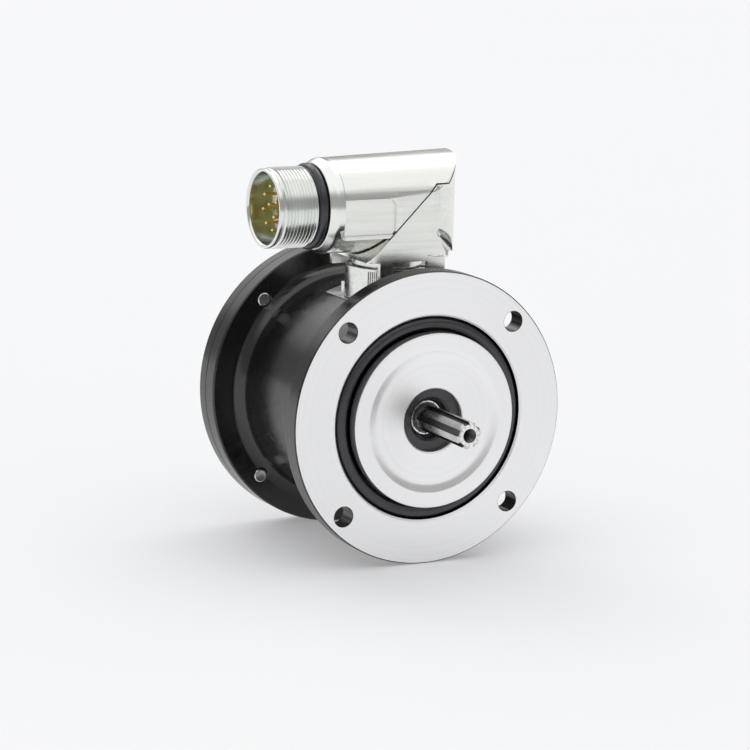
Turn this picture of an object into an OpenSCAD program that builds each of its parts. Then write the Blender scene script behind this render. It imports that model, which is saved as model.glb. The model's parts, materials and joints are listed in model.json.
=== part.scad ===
// Hollow-housing rotary encoder with a splined stub shaft and a swivelling angled connector.
// The shaft runs along Y. The flange's mounting face is at Y = 0 and looks towards -Y.
// The connector stands on top (+Z) and its socket points towards -X.

/* [Flange and housing] */
// Diameter of the front flange
flange_d = 84; // [82:0.5:90]
// Thickness of the front flange
flange_t = 6; // [5:0.5:8]
// Diameter of the locating spigot
spigot_d = 50; // [49:0.5:51]
// Height of the spigot in front of the flange
spigot_h = 3.4; // [2.5:0.1:4]
// Pitch circle diameter of the flange holes
bolt_pcd = 74; // [73:0.5:76]
// Diameter of the flange holes
bolt_hole_d = 5.8; // [5.3:0.1:6]
// Diameter of the cylindrical body
body_d = 65; // [64:0.5:66]
// Distance from the mounting face to the front of the rear flange
rear_flange_y = 53.8; // [53:0.2:58]
// Thickness of the rear flange
rear_flange_t = 5.2; // [5:0.1:6]
// Thickness of the rear cover
cover_t = 4.8; // [4.6:0.1:6]

/* [Shaft] */
// Outer diameter of the splined stub
spline_d = 7.6; // [7:0.1:8]
// Root diameter of the splined stub
spline_root_d = 6.1; // [5.6:0.1:6.4]
// Number of splines
spline_count = 6; // [4:1:8]
// Distance of the shaft's tip in front of the mounting face
shaft_reach = 23.8; // [18:0.2:30]

/* [Connector] */
// Major diameter of the coupling thread
thread_d = 23; // [22.8:0.1:23.2]
// Length of the coupling thread
thread_len = 11; // [9:0.5:11]
// Height of the socket's axis above the shaft
socket_z = 57.4; // [57.4:0.2:58]
// Distance of the swivel axis behind the mounting face
swivel_y = 28; // [27:0.5:29]
// Width of the square elbow
elbow_w = 27.2; // [26.8:0.2:27.6]

/* [Hidden] */
$fn = 96;
eps = 0.01;
wide = 200;

anodised = [0.09, 0.09, 0.10];
steel = [0.72, 0.73, 0.75];
nickel = [0.86, 0.87, 0.84];
rubber = [0.13, 0.13, 0.14];
gold = [0.85, 0.66, 0.28];
board_green = [0.10, 0.33, 0.20];

// Positions along the shaft
dish_y = -2.7;
seal_y = -0.8;
seal_w = 4;
seal_r = 9;
shoulder_y = seal_y + seal_w;
bearing_y = shoulder_y + 1;
bearing_w = 8;
spacer_w = 6;
rear_bearing_y = bearing_y + bearing_w + spacer_w;
stack_y = rear_bearing_y + bearing_w;
hub_face_y = 30;
disc_y = 34.5;
sensor_board_y = 38.6;
board_t = 1.6;
main_board_y = 47.2;
cover_y = rear_flange_y + rear_flange_t;
back_y = cover_y + cover_t;

// Radii
flange_r = flange_d / 2;
spigot_r = spigot_d / 2;
disc_r = 19.5;
disc_screw_r = 8.5;
disc_screw_angles = [90, 210, 330];
lamp_z = -17.6;
lamp_screw_z = -19.5;
lamp_screw_x = 3.4;
body_r = body_d / 2;
pitch_r = bolt_pcd / 2;
groove_r = spigot_r + 4.2;
groove_depth = 4.05;
relief = 0.6;
cord_r = 1.95;
cavity_r = 26.5;
hub_r = 17;
fillet_r = 4;
bearing_r = 13;
race_out_r = 10.9;
race_in_r = 7.1;
ball_pitch_r = 9;
ball_r = 2.4;
shaft_r = 5;
ball_count = 7;
post_r = 23;
hole_angles = [45, 135, 225, 315];

// Heights of the connector
seat_z = 29.9;
base_z = seat_z + 0.5;
base_top_z = 39.6;
base_r = 12;
neck_r = 6.98;
neck_bore_r = 4.5;
base_pitch_r = 9.8;
collar_z = base_top_z + 0.3;
collar_r = 10;
swivel_groove_z = 35.4;
elbow_z = 42.3;
foot_z = 43.9;
ledge_z = 49.3;
step_z = 64;
gasket_t = 0.4;
passage_r = 9.8;

// The elbow in plan: small corners at the socket's side and large ones at the back
small_corner_r = 4.5;
large_corner_r = 11.5;
elbow_back_x = 18.6;
foot_back_x = 17.3;

// The hood's roof is a cone about the socket's axis that widens towards the back
roof_len = 40;
roof_r = 13.6;
roof_flare = 1;

// The joint between hood and elbow: a mitre across the socket's axis, a step and a steeper beak
mitre_x = 2;
mitre_lean = 45;
beak_x = 12.9;
beak_lean = 48.5;
clamp_offset = 11.4;
clamp_seat = 9.5;
wire_r = 2;

// Positions along the socket's axis, from the lip to the hood
lip_x = -39.7;
thread_x = -38.1;
ring_x = thread_x + thread_len;
collar_x = ring_x + 2.5;
hood_x = -20.3;
insert_x = -31;
pin_x = -37;
ring_seat_r = 10.5;

// ---- shared shapes ----

// A shape drawn along +Z, laid along +Y
module along_y(y = 0) {
  translate([0, y, 0]) rotate([-90, 0, 0]) children();
}

// A shape drawn along +Z, laid along +X on the socket's axis
module along_x(x = 0) {
  translate([x, swivel_y, socket_z]) rotate([0, 90, 0]) children();
}

module disc_solid(y0, y1, r) {
  along_y(y0) cylinder(h = y1 - y0, r = r);
}

module ring_solid(y0, y1, r_out, r_in) {
  difference() {
    disc_solid(y0, y1, r_out);
    disc_solid(y0 - 1, y1 + 1, r_in);
  }
}

module socket_disc(x0, x1, r) {
  along_x(x0) cylinder(h = x1 - x0, r = r);
}

module socket_ring(x0, x1, r_out, r_in) {
  difference() {
    socket_disc(x0, x1, r_out);
    socket_disc(x0 - 1, x1 + 1, r_in);
  }
}

module swivel_disc(z0, z1, r) {
  translate([0, swivel_y, z0]) cylinder(h = z1 - z0, r = r);
}

module swivel_ring(z0, z1, r_out, r_in) {
  difference() {
    swivel_disc(z0, z1, r_out);
    swivel_disc(z0 - 1, z1 + 1, r_in);
  }
}

// A solid of revolution about the shaft from points [radius, y]
module turned(points) {
  along_y() rotate_extrude() polygon(points);
}

module torus(r, cord) {
  rotate_extrude() translate([r, 0]) circle(r = cord);
}

// Places children at each angle on a circle about the shaft, measured from +X towards +Z
module around_shaft(angles, r, y = 0) {
  for (a = angles) translate([r * cos(a), y, r * sin(a)]) children();
}

module around_swivel(angles, r, z = 0) {
  for (a = angles) translate([r * cos(a), swivel_y + r * sin(a), z]) children();
}

// ---- housing ----

module housing_outside() {
  turned([
    [0, -spigot_h], [spigot_r - 0.3, -spigot_h], [spigot_r, 0.3 - spigot_h], [spigot_r, 0],
    [flange_r - 0.35, 0], [flange_r, 0.35], [flange_r, flange_t - 0.3], [flange_r - 0.3, flange_t],
    [body_r, flange_t], [body_r, rear_flange_y], [flange_r - 0.4, rear_flange_y],
    [flange_r, rear_flange_y + 0.4], [flange_r, cover_y - 0.25], [flange_r - 0.25, cover_y],
    [0, cover_y]
  ]);
  along_y() rotate_extrude() difference() {
    translate([body_r - eps, rear_flange_y - fillet_r]) square([fillet_r + eps, fillet_r + eps]);
    translate([body_r + fillet_r, rear_flange_y - fillet_r]) circle(r = fillet_r);
  }
}

module housing_cavity() {
  // seal seat, bearing bore and circlip groove
  turned([
    [0, dish_y - 0.1], [seal_r + 0.35, dish_y - 0.1], [seal_r + 0.05, dish_y + 0.25],
    [seal_r + 0.05, shoulder_y], [8.5, shoulder_y], [8.5, bearing_y], [bearing_r, bearing_y],
    [bearing_r, hub_face_y + 1], [0, hub_face_y + 1]
  ]);
  disc_solid(stack_y + 1.2, stack_y + 2.4, bearing_r + 0.7);
  // electronics space behind the bearing hub, and the pocket round the hub
  disc_solid(hub_face_y, cover_y + 1, cavity_r);
  difference() {
    disc_solid(12, hub_face_y + 1, cavity_r);
    disc_solid(11, hub_face_y + 2, hub_r);
    around_shaft(hole_angles, post_r, 11) along_y() cylinder(h = hub_face_y - 11, r = 3.9);
    translate([-6, 11, -cavity_r - 1]) cube([12, hub_face_y - 11, cavity_r]);
  }
}

module housing() {
  color(anodised) difference() {
    housing_outside();
    // dished spigot face
    turned([[0, -5], [20.4, -5], [20.4, -spigot_h], [18.9, dish_y], [0, dish_y]]);
    housing_cavity();
    // seat of the flange seal, with a chamfered mouth
    turned([
      [spigot_r, -0.1], [groove_r + 0.45, -0.1], [groove_r + 0.35, 0], [groove_r, 0.35],
      [groove_r, groove_depth], [spigot_r - relief, groove_depth], [spigot_r - relief, relief],
      [spigot_r, 0]
    ]);
    // fastener holes in both flanges
    around_shaft(hole_angles, pitch_r, -1)
      along_y() cylinder(h = flange_t + 2, d = bolt_hole_d);
    around_shaft(hole_angles, pitch_r, rear_flange_y - 1)
      along_y() cylinder(h = rear_flange_t + 2, r = 2);
    // groove of the cover seal
    ring_solid(cover_y - 1.5, cover_y + 1, 31.2, 29);
    // tapped holes for the standoffs and the lamp holder
    around_shaft(hole_angles, post_r, hub_face_y - 6) along_y() cylinder(h = 7, r = 1.25);
    for (x = [-lamp_screw_x, lamp_screw_x]) translate([x, hub_face_y - 4, lamp_screw_z])
      along_y() cylinder(h = 5, r = 1);
    // milled seat, wire way and screw holes of the connector
    translate([-14, swivel_y - 13, seat_z]) cube([28, 26, 10]);
    swivel_disc(20, seat_z + 1, 6);
    around_swivel(hole_angles, base_pitch_r, seat_z - 2.8) cylinder(h = 4, r = 1);
  }
}

module flange_o_ring() {
  color(rubber) along_y(groove_depth - 0.05 - cord_r) torus(spigot_r + 0.1 + cord_r, cord_r);
}

// ---- shaft and seal ----

module shaft() {
  color(steel) difference() {
    turned([
      [0, -shaft_reach], [spline_d / 2 - 0.6, -shaft_reach], [spline_d / 2, 0.6 - shaft_reach],
      [spline_d / 2, 1.6], [shaft_r - 0.3, 1.6], [shaft_r, 1.9], [shaft_r, stack_y + 2],
      [4, stack_y + 2], [4, 37], [0, 37]
    ]);
    for (i = [0 : spline_count - 1]) along_y(-shaft_reach - 1)
      rotate([0, 0, -45 + i * 360 / spline_count])
        translate([spline_root_d / 2, -0.95, 0]) cube([3, 1.9, shaft_reach + 1.2]);
    // tapped hole in the end, with a countersink
    disc_solid(-shaft_reach - 1, -shaft_reach + 9, 1.65);
    along_y(-shaft_reach - eps) cylinder(h = 0.5, r1 = 2.1, r2 = 1.6);
    // circlip groove
    ring_solid(stack_y + 0.05, stack_y + 1.15, shaft_r + 1, 4.7);
  }
}

module seal_body() {
  color(rubber) turned([
    [seal_r, seal_y], [seal_r, shoulder_y], [8.4, shoulder_y], [8.4, 0.6], [6.6, 0.6],
    [6.45, 2.4], [5.05, 2.4], [5.05, 2.1], [5.9, 0.4], [5.7, seal_y + 0.5], [6.4, seal_y]
  ]);
}

module seal_case() {
  color(steel) turned([
    [8.35, 0.65], [8.35, 3.1], [7.9, 3.1], [7.9, 1.1], [6.95, 1.1], [6.95, 0.65]
  ]);
}

module garter_spring() {
  color(steel) along_y(1.95) torus(7.0, 0.42);
}

// ---- bearings ----

module race_profile(r0, r1) {
  difference() {
    translate([r0, -bearing_w / 2]) square([r1 - r0, bearing_w]);
    translate([ball_pitch_r, 0]) circle(r = ball_r + 0.06);
  }
}

module outer_race(y) {
  color(steel) along_y(y + bearing_w / 2) rotate_extrude() race_profile(race_out_r, bearing_r);
}

module inner_race(y) {
  color(steel) along_y(y + bearing_w / 2) rotate_extrude() race_profile(shaft_r, race_in_r);
}

module ball_ring(y, r) {
  for (i = [0 : ball_count - 1])
    around_shaft([i * 360 / ball_count + 10], ball_pitch_r, y + bearing_w / 2) sphere(r = r);
}

module balls(y) {
  color(steel) ball_ring(y, ball_r);
}

module cage(y) {
  color(gold) difference() {
    ring_solid(y + 0.9, y + bearing_w - 0.9, 9.9, 8.1);
    translate([0, y + bearing_w / 2, 0]) for (i = [0 : ball_count - 1])
      rotate([0, -i * 360 / ball_count - 10, 0]) rotate([0, 90, 0])
        cylinder(h = 20, r = ball_r + 0.05);
  }
}

module front_outer_race() { outer_race(bearing_y); }
module front_inner_race() { inner_race(bearing_y); }
module front_balls() { balls(bearing_y); }
module front_cage() { cage(bearing_y); }
module rear_outer_race() { outer_race(rear_bearing_y); }
module rear_inner_race() { inner_race(rear_bearing_y); }
module rear_balls() { balls(rear_bearing_y); }
module rear_cage() { cage(rear_bearing_y); }

module outer_spacer() {
  color(steel) ring_solid(bearing_y + bearing_w, rear_bearing_y, bearing_r, 11);
}

module inner_spacer() {
  color(steel) ring_solid(bearing_y + bearing_w, rear_bearing_y, 7, shaft_r);
}

// Waved washer: a flat ring whose height follows a cosine
function wave_y(a) = 0.32 * cos(4 * a);
function wave_point(r, a, side) = [r * cos(a), stack_y + 0.6 + wave_y(a) + side * 0.15, r * sin(a)];

module wave_spring() {
  n = 72;
  da = 360 / n;
  points = [
    for (i = [0 : n - 1]) for (c = [[10.8, -1], [12.8, -1], [12.8, 1], [10.8, 1]])
      wave_point(c[0], i * da, c[1])
  ];
  faces = [
    for (i = [0 : n - 1]) for (k = [0 : 3])
      let (j = (i + 1) % n, m = (k + 1) % 4) [4 * i + k, 4 * j + k, 4 * j + m, 4 * i + m]
  ];
  color(steel) polyhedron(points = points, faces = faces, convexity = 6);
}

module circlip_profile(r0, r1, gap) {
  difference() {
    circle(r = r1);
    circle(r = r0);
    translate([0, -gap / 2]) square([wide, gap]);
  }
}

module housing_circlip() {
  color(steel) along_y(stack_y + 1.25) rotate([0, 0, 90])
    linear_extrude(1.1) circlip_profile(11, bearing_r + 0.6, 5);
}

module shaft_circlip() {
  color(steel) along_y(stack_y + 0.1) linear_extrude(1) circlip_profile(4.75, 7.2, 3);
}

// ---- code disc ----

module disc_hub() {
  color(steel) difference() {
    union() {
      disc_solid(stack_y + 2.9, disc_y, 9);
      disc_solid(disc_y - 2, disc_y, 12);
      disc_solid(disc_y - 1, 37, 6);
    }
    disc_solid(20, 40, 4);
    for (s = [0, 180]) rotate([0, s, 0]) translate([3, 30.8, 0])
      rotate([0, 90, 0]) cylinder(h = 8, r = 1.5);
    around_shaft(disc_screw_angles, disc_screw_r, disc_y - 2.4) along_y() cylinder(h = 3, r = 0.8);
  }
}

module hub_grub_screws() {
  color(anodised) for (s = [0, 180]) rotate([0, s, 0]) translate([4, 30.8, 0])
    rotate([0, 90, 0]) difference() {
      cylinder(h = 4.6, r = 1.5);
      translate([0, 0, 2.6]) cylinder(h = 3, r = 0.87, $fn = 6);
    }
}

module code_disc() {
  color([0.75, 0.85, 0.88, 0.5]) difference() {
    ring_solid(disc_y, disc_y + 1, disc_r, 6);
    around_shaft(disc_screw_angles, disc_screw_r, disc_y - 1) along_y() cylinder(h = 4, r = 1);
  }
}

module disc_clamp_ring() {
  color(nickel) difference() {
    ring_solid(disc_y + 1, disc_y + 2, 11, 6);
    around_shaft(disc_screw_angles, disc_screw_r, disc_y) along_y() cylinder(h = 4, r = 1);
  }
}

module disc_screws() {
  color(steel) around_shaft(disc_screw_angles, disc_screw_r) {
    disc_solid(disc_y - 2.2, disc_y + 2, 0.8);
    difference() {
      disc_solid(disc_y + 2, disc_y + 2.9, 1.6);
      along_y(disc_y + 2.4) cylinder(h = 2, r = 0.7, $fn = 6);
    }
  }
}

// ---- optics and electronics ----

module led_holder() {
  color(rubber) difference() {
    translate([-5, hub_face_y, -21.3]) cube([10, 3.6, 6]);
    translate([0, hub_face_y - 1, lamp_z]) along_y() cylinder(h = 6, r = 1.5);
    for (x = [-lamp_screw_x, lamp_screw_x]) translate([x, hub_face_y - 1, lamp_screw_z])
      along_y() cylinder(h = 6, r = 1.1);
  }
}

module led_lamp() {
  color([0.95, 0.93, 0.85]) translate([0, hub_face_y + 0.2, lamp_z]) {
    along_y() cylinder(h = 2.2, r = 1.45);
    along_y(2.2) intersection() {
      sphere(r = 1.45);
      cylinder(h = 2, r = 2);
    }
  }
}

module led_holder_screws() {
  color(steel) for (x = [-lamp_screw_x, lamp_screw_x]) translate([x, 0, lamp_screw_z]) {
    disc_solid(hub_face_y - 3, hub_face_y + 3.6, 0.95);
    difference() {
      disc_solid(hub_face_y + 3.6, hub_face_y + 4.3, 1.5);
      translate([-2, hub_face_y + 4, -0.2]) cube([4, 1, 0.4]);
    }
  }
}

module scanning_mask() {
  color([0.7, 0.78, 0.8, 0.6]) translate([-5, 36.1, -20.6]) cube([10, 0.8, 6]);
}

module sensor_chip() {
  color(anodised) translate([-5.5, 36.9, -21.2]) cube([11, sensor_board_y - 36.9, 7.2]);
}

// A round board with a wire notch at the top and holes for the standoffs
module board(y, extra_bore) {
  color(board_green) difference() {
    disc_solid(y, y + board_t, 25.8);
    translate([-4.5, y - 1, 19]) cube([9, board_t + 2, 10]);
    around_shaft(hole_angles, post_r, y - 1) along_y() cylinder(h = board_t + 2, r = 1.3);
    if (extra_bore > 0) disc_solid(y - 1, y + board_t + 1, extra_bore);
  }
}

module sensor_board() { board(sensor_board_y, 4.5); }
module main_board() { board(main_board_y, 0); }

module standoff(y0, y1) {
  difference() {
    union() {
      disc_solid(y0, y1, 2.4);
      disc_solid(y0 - 5, y0 + eps, 1.24);
    }
    disc_solid(y1 - 4, y1 + 1, 1.26);
  }
}

module lower_standoffs() {
  color(gold) around_shaft(hole_angles, post_r) standoff(hub_face_y, sensor_board_y);
}

module upper_standoffs() {
  color(gold) around_shaft(hole_angles, post_r)
    standoff(sensor_board_y + board_t, main_board_y);
}

module board_screws() {
  color(steel) around_shaft(hole_angles, post_r) {
    disc_solid(main_board_y - 3, main_board_y + board_t, 1.24);
    difference() {
      disc_solid(main_board_y + board_t, main_board_y + board_t + 1.8, 2.3);
      along_y(main_board_y + board_t + 0.8) cylinder(h = 2, r = 1.15, $fn = 6);
    }
  }
}

module board_chips() {
  top = main_board_y + board_t;
  color(anodised) {
    for (b = [[-11, -2, 10, 10, 1.5], [6, 1, 7, 7, 1.2], [5, -13, 10, 6, 1.6], [-14, -12, 6, 4, 1.4]])
      translate([b[0], top, b[1]]) cube([b[2], b[4], b[3]]);
    for (p = [[-4, -17], [2, -19]]) translate([p[0], top, p[1]]) along_y() cylinder(h = 5.5, r = 2.2);
  }
}

module board_plug() {
  color([0.92, 0.90, 0.84]) translate([-5, main_board_y + board_t, 9]) cube([10, 4.6, 5.5]);
}

// Direction of a route at its point i
function unit(v) = v / norm(v);
function tangent(p, i) = unit(p[min(i + 1, len(p) - 1)] - p[max(i - 1, 0)]);

// A round bundle swept along a route that lies in the plane with the given normal
module bundle(p, normal, r) {
  sides = 12;
  rings = len(p);
  points = [
    for (i = [0 : rings - 1]) let (side = cross(normal, tangent(p, i))) for (k = [0 : sides - 1])
      p[i] + r * (cos(k * 360 / sides) * normal + sin(k * 360 / sides) * side)
  ];
  walls = [
    for (i = [0 : rings - 2]) for (k = [0 : sides - 1])
      let (m = (k + 1) % sides, a = i * sides, b = a + sides) [a + k, a + m, b + m, b + k]
  ];
  ends = [
    [for (k = [0 : sides - 1]) sides - 1 - k],
    [for (k = [0 : sides - 1]) (rings - 1) * sides + k]
  ];
  polyhedron(points = points, faces = concat(walls, ends), convexity = 6);
}

// From the plug, back over the notches of both boards, forward and up through the housing
loom_route = [
  [0, 51.2, 14.5], [0, 51.2, 18], [0, 50.6, 20.6], [0, 48.7, 22.3], [0, 46, 22.7],
  [0, 34, 22.7], [0, 31, 23], [0, 28.9, 24.6], [0, swivel_y, 27], [0, swivel_y, 38]
];

module wire_loom() {
  color(rubber) bundle(loom_route, [1, 0, 0], wire_r);
}

// From the swivel's neck round the elbow to the insert
elbow_route = [
  [0, swivel_y, 38.2], [0, swivel_y, 50], [-0.6, swivel_y, 53], [-2.2, swivel_y, 55.4],
  [-4.7, swivel_y, 56.9], [-7.6, swivel_y, socket_z], [-19, swivel_y, socket_z]
];

module elbow_wires() {
  color(rubber) bundle(elbow_route, [0, 1, 0], wire_r);
}

// ---- rear cover ----

module rear_cover() {
  color(anodised) difference() {
    union() {
      turned([
        [0, cover_y], [flange_r - 0.25, cover_y], [flange_r, cover_y + 0.25],
        [flange_r, back_y - 0.8], [flange_r - 0.8, back_y], [0, back_y]
      ]);
      disc_solid(cover_y - 2, cover_y + eps, cavity_r - 0.1);
    }
    disc_solid(cover_y - 3, cover_y + 1, cavity_r - 3);
    turned([[0, back_y - 0.6], [28, back_y - 0.6], [28.6, back_y + 0.1], [0, back_y + 0.1]]);
    around_shaft(hole_angles, pitch_r, cover_y - 1) along_y() cylinder(h = cover_t + 2, r = 2.15);
    around_shaft(hole_angles, pitch_r, back_y - 2.6) along_y() cylinder(h = 3, r = 3.7);
  }
}

module cover_seal() {
  color(rubber) ring_solid(cover_y - 1.45, cover_y, 31.1, 29.1);
}

module cover_screws() {
  color(steel) around_shaft(hole_angles, pitch_r) {
    along_y() rotate_extrude() polygon([
      [0, rear_flange_y - 0.25], [1.4, rear_flange_y - 0.25], [1.98, rear_flange_y + 0.35],
      [1.98, back_y - 2.5], [0, back_y - 2.5]
    ]);
    difference() {
      disc_solid(back_y - 2.6, back_y - 0.2, 3.5);
      along_y(back_y - 1.7) cylinder(h = 3, r = 1.45, $fn = 6);
    }
  }
}

// ---- connector base ----

module base_gasket() {
  color(rubber) difference() {
    swivel_ring(seat_z, base_z, base_r, 7.4);
    around_swivel(hole_angles, base_pitch_r, seat_z - 1) cylinder(h = 3, r = 1.1);
  }
}

module swivel_base() {
  color(nickel) difference() {
    union() {
      swivel_disc(base_z, base_top_z, base_r);
      // four ears at the foot
      for (a = hole_angles) translate([0, swivel_y, base_z]) rotate([0, 0, a])
        translate([base_r - 1, -0.6, 0]) cube([2.3, 1.2, 3.2]);
    }
    swivel_disc(20, 50, neck_r + 0.07);
    swivel_disc(20, base_z + 3, 8.2);
    around_swivel(hole_angles, base_pitch_r, base_z - 1) cylinder(h = 20, r = 1.05);
    around_swivel(hole_angles, base_pitch_r, base_top_z - 2.4) cylinder(h = 4, r = 1.95);
    // fine ribs on the front left of the rim
    for (a = [217 : 3 : 229]) translate([0, swivel_y, 0]) rotate([0, 0, a])
      translate([base_r - 0.4, -0.2, 33]) cube([2, 0.4, 6]);
  }
}

module base_screws() {
  color(steel) around_swivel(hole_angles, base_pitch_r) {
    translate([0, 0, seat_z - 2.6]) cylinder(h = base_top_z - 2.4 - seat_z + 2.7, r = 0.98);
    difference() {
      translate([0, 0, base_top_z - 2.4]) cylinder(h = 1.9, r = 1.9);
      translate([0, 0, base_top_z - 1.5]) cylinder(h = 3, r = 0.87, $fn = 6);
    }
  }
}

module swivel_seal() {
  color(rubber) swivel_ring(swivel_groove_z + 0.1, swivel_groove_z + 1.5, neck_r, 5.75);
}

module swivel_circlip() {
  color(steel) translate([0, swivel_y, base_z + 1.2]) linear_extrude(1) circlip_profile(6.45, 7.9, 3);
}

// ---- elbow ----

// The space above and to the left of a plane through [x, z] that leans towards the back,
// between two heights
module upper_left(x, z, lean, z_low, z_high) {
  intersection() {
    translate([x, 0, z]) rotate([0, -lean, 0])
      translate([-wide / 2, -wide / 2, 0]) cube([wide, wide, wide]);
    translate([-wide / 2, -wide / 2, z_low]) cube([wide, wide, z_high - z_low]);
  }
}

// Everything that belongs to the hood's side of the stepped joint; gap > 0 moves it up
module hood_side(gap) {
  upper_left(mitre_x - 1.4 * gap, socket_z, mitre_lean, -wide / 2, step_z + gap + eps);
  upper_left(beak_x - 1.4 * gap, step_z, beak_lean, step_z + gap, wide);
}

// Plan of the elbow with its back at x_back; its left side is rounded or runs on to x_left
module elbow_plan(x_back, x_left = 0) {
  h = elbow_w / 2;
  x_arc = x_back - large_corner_r;
  if (x_left < 0) translate([x_left, -h]) square([x_arc - x_left, elbow_w]);
  translate([small_corner_r - h, -h]) square([x_arc + h - small_corner_r, elbow_w]);
  translate([-h, small_corner_r - h]) square([h, elbow_w - 2 * small_corner_r]);
  translate([0, large_corner_r - h]) square([x_back, elbow_w - 2 * large_corner_r]);
  for (s = [-1, 1]) {
    translate([small_corner_r - h, s * (h - small_corner_r)]) circle(r = small_corner_r);
    translate([x_arc, s * (h - large_corner_r)]) circle(r = large_corner_r);
  }
}

module elbow_prism(z0, z1, x_back = elbow_back_x, x_left = 0) {
  translate([0, swivel_y, z0]) linear_extrude(z1 - z0) elbow_plan(x_back, x_left);
}

// The roof, on straight sides that start at z_low
module roof(z_low) {
  along_x(hood_x) cylinder(h = roof_len, r1 = roof_r, r2 = roof_r + roof_flare);
  translate([hood_x, swivel_y - elbow_w / 2, z_low]) cube([roof_len, elbow_w, socket_z - z_low]);
}

module elbow_passage() {
  socket_disc(-30, 0, passage_r);
  translate([0, swivel_y, socket_z]) sphere(r = passage_r);
  swivel_disc(elbow_z + 2, socket_z, passage_r);
}

module screw_pockets(r, depth) {
  for (s = [-1, 1]) translate([mitre_x, swivel_y + s * clamp_offset, socket_z])
    rotate([0, 135, 0]) translate([0, 0, depth]) cylinder(h = 30, r = r);
}

module elbow_lower() {
  color(nickel) difference() {
    union() {
      intersection() {
        elbow_prism(foot_z, 80);
        roof(elbow_z);
      }
      elbow_prism(elbow_z, foot_z + eps, foot_back_x);
      swivel_disc(base_z + 0.6, elbow_z + 1, neck_r);
      swivel_disc(collar_z, elbow_z + 1, collar_r);
      // lugs under the front and back faces
      for (a = [0, 180]) translate([0, swivel_y, 0]) rotate([0, 0, a])
        for (lug = [[-9.2, 4], [5.8, 5.6]]) translate([lug[0], -elbow_w / 2, 38.3])
          cube([lug[1], 1.5, elbow_z - 38.3 + 1]);
    }
    hood_side(-gasket_t / 2);
    elbow_passage();
    swivel_disc(20, elbow_z + 3, neck_bore_r);
    swivel_ring(base_z + 1.15, base_z + 2.25, 9, 6.4);
    swivel_ring(swivel_groove_z, swivel_groove_z + 1.6, 9, 5.7);
    screw_pockets(2.2, clamp_seat);
    screw_pockets(1.1, -1);
  }
}

module elbow_hood() {
  color(nickel) difference() {
    intersection() {
      roof(ledge_z);
      elbow_prism(20, 80, elbow_back_x, hood_x);
      hood_side(gasket_t / 2);
    }
    elbow_passage();
    screw_pockets(1.05, -6);
    // flat recess on both sides
    for (s = [-1, 1]) translate([hood_x - 1, swivel_y + s * (elbow_w / 2 + 0.2), 50.4])
      rotate([90, 0, 0]) translate([0, 0, -1]) linear_extrude(2) {
        square([14.2, 10.2]);
        square([16.8, 7.6]);
        translate([14.2, 7.6]) circle(r = 2.6);
      }
  }
}

module elbow_gasket() {
  color(rubber) difference() {
    intersection() {
      translate([0.5 - elbow_w / 2, swivel_y + 0.5 - elbow_w / 2, elbow_z])
        cube([elbow_w - 1, elbow_w - 1, 30]);
      union() {
        socket_disc(hood_x, 20, roof_r - 0.4);
        translate([hood_x, swivel_y - elbow_w / 2, ledge_z])
          cube([roof_len, elbow_w, socket_z - ledge_z]);
      }
      translate([mitre_x, swivel_y, socket_z]) rotate([0, -45, 0])
        translate([-wide / 2, -wide / 2, 0.01 - gasket_t / 2])
          cube([wide, wide, gasket_t - 0.02]);
      translate([-wide / 2, -wide / 2, 0]) cube([wide, wide, step_z - 0.3]);
    }
    elbow_passage();
    screw_pockets(1.2, -6);
  }
}

module elbow_screws() {
  color(steel) for (s = [-1, 1]) translate([mitre_x, swivel_y + s * clamp_offset, socket_z])
    rotate([0, 135, 0]) {
      translate([0, 0, -5.6]) cylinder(h = clamp_seat + 5.7, r = 1);
      difference() {
        translate([0, 0, clamp_seat + 0.02]) cylinder(h = 1.6, r = 2.1);
        translate([0, 0, clamp_seat + 0.8]) cylinder(h = 3, r = 0.9, $fn = 6);
      }
    }
}

// ---- socket ----

module connector_barrel() {
  color(nickel) difference() {
    along_x() rotate_extrude() polygon([
      [0, lip_x], [11, lip_x], [11.2, lip_x + 0.2], [11.2, lip_x + 0.9], [10.8, lip_x + 1.1],
      [10.8, thread_x - 0.3], [thread_d / 2, thread_x], [thread_d / 2, ring_x - 0.2],
      [ring_seat_r, ring_x - 0.2], [ring_seat_r, collar_x], [12.3, collar_x],
      [roof_r, collar_x + 2.2], [roof_r, hood_x], [9.6, hood_x], [9.6, hood_x + 4], [0, hood_x + 4]
    ]);
    // opening in front of the insert, then its seat
    along_x() rotate_extrude() polygon([
      [0, lip_x - 1], [10.5, lip_x - 1], [10.5, lip_x], [10.05, lip_x + 0.45], [10.05, insert_x],
      [0, insert_x]
    ]);
    socket_disc(insert_x - eps, hood_x + 5, 8.6);
    socket_ring(hood_x + 0.95, hood_x + 2.05, 9.1, 5);
  }
}

module barrel_o_ring() {
  color(rubber) along_x(ring_x + 1.15) difference() {
    torus(10.95, 1.3);
    cylinder(h = 10, r = ring_seat_r + 0.05, center = true);
  }
}

outer_pin_angles = [for (i = [0 : 8]) i * 40];
inner_pin_angles = [-15, 105, 225];

module pin_places() {
  for (a = outer_pin_angles) rotate([0, 0, a]) translate([6.3, 0, 0]) children();
  for (a = inner_pin_angles) rotate([0, 0, a]) translate([2.6, 0, 0]) children();
}

module contact_insert() {
  color([0.42, 0.38, 0.22]) difference() {
    union() {
      socket_disc(insert_x, hood_x + 0.9, 8.55);
      along_x(insert_x - 2.5) translate([-8.4, -1, 0]) cube([1.1, 2, 3]);
    }
    along_x(insert_x - 1) pin_places() cylinder(h = 20, r = 0.52);
  }
}

module contact_pins() {
  color(gold) along_x() pin_places() {
    translate([0, 0, pin_x]) intersection() {
      cylinder(h = hood_x + 2 - pin_x, r = 0.5);
      cylinder(h = 40, r1 = 0.2, r2 = 20);
    }
  }
}

module insert_circlip() {
  color(steel) along_x(hood_x + 1) linear_extrude(1) circlip_profile(7.6, 9, 3);
}

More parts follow.
